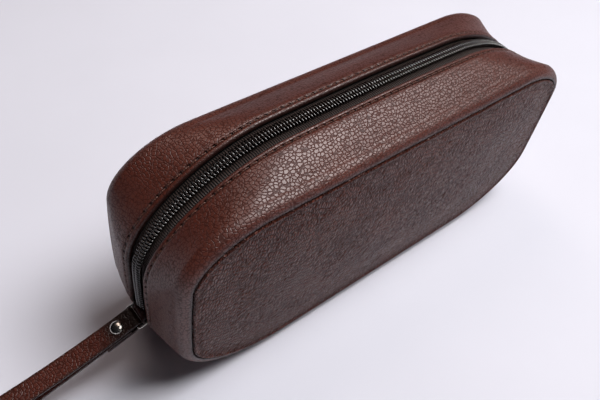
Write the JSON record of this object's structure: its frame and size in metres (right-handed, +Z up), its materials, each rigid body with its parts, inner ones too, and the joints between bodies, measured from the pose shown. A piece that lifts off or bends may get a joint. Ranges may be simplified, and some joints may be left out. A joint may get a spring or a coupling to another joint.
{
  "type": "cosmetic bag",
  "caption": "Boxed pebbled-leather toiletry pouch on a narrow base, with a coil zip round its gusset, inset padded side panels and a folded leather wrist strap on a metal ring.",
  "frame": {"origin": "middle of the bottom gusset's flat, on the surface that the bag stands on", "axes": "+X along the bag, away from the wrist strap; -Y is the front face; +Z up"},
  "size_m": [0.3748, 0.064, 0.105],
  "materials": {
    "gusset_leather": "pebbled, satin",
    "panel_leather": "fine pebbled, satin",
    "strap_leather": "satin",
    "foam": "matte",
    "lining": "matte",
    "tape": "woven, matte",
    "coil": "semi gloss nylon",
    "nickel": "polished nickel"
  },
  "bodies": {
    "back_half": {"back_panel": "panel_leather", "back_panel_stiffener": "foam", "back_panel_lining": "lining", "back_gusset": "gusset_leather", "back_gusset_padding": "foam", "back_gusset_lining": "lining", "back_zip_tape": "tape", "back_zip_coil": "coil", "bottom_gusset": "gusset_leather", "base_board": "foam", "base_lining": "lining", "strap_tab": "strap_leather"},
    "front_half": {"front_panel": "panel_leather", "front_panel_stiffener": "foam", "front_panel_lining": "lining", "front_gusset": "gusset_leather", "front_gusset_padding": "foam", "front_gusset_lining": "lining", "front_zip_tape": "tape", "front_zip_coil": "coil"},
    "slider": {"slider_body": "nickel"},
    "pull": {"slider_pull": "nickel"},
    "ring": {"strap_ring": "nickel"},
    "strap": {"wrist_strap": "strap_leather", "rivet_cap": "nickel", "rivet_post": "nickel"}
  },
  "joints": [
    {"name": "front_half_tilt", "type": "hinge", "parent": "back_half", "child": "front_half", "pos_m": [0, -0.029, 0.0047], "axis": [1, 0, 0], "range_deg": [0, 30]},
    {"name": "slider_slide", "type": "slide", "parent": "back_half", "child": "slider", "axis": [0, 0, 1], "range_m": [0, 0.014], "deforming": ["front_zip_coil", "back_zip_coil"]},
    {"name": "pull_swing", "type": "hinge", "parent": "slider", "child": "pull", "pos_m": [0.11525, 0.0002, 0.0395], "axis": [0, -1, 0], "range_deg": [0, 175]},
    {"name": "ring_swing", "type": "hinge", "parent": "back_half", "child": "ring", "pos_m": [-0.11394, 0.0002, 0.03025], "axis": [0, 1, 0], "range_deg": [-25, 45]},
    {"name": "strap_swing", "type": "hinge", "parent": "ring", "child": "strap", "pos_m": [-0.11872, 0.0002, 0.02877], "axis": [0, 1, 0], "range_deg": [-60, 45]}
  ]
}
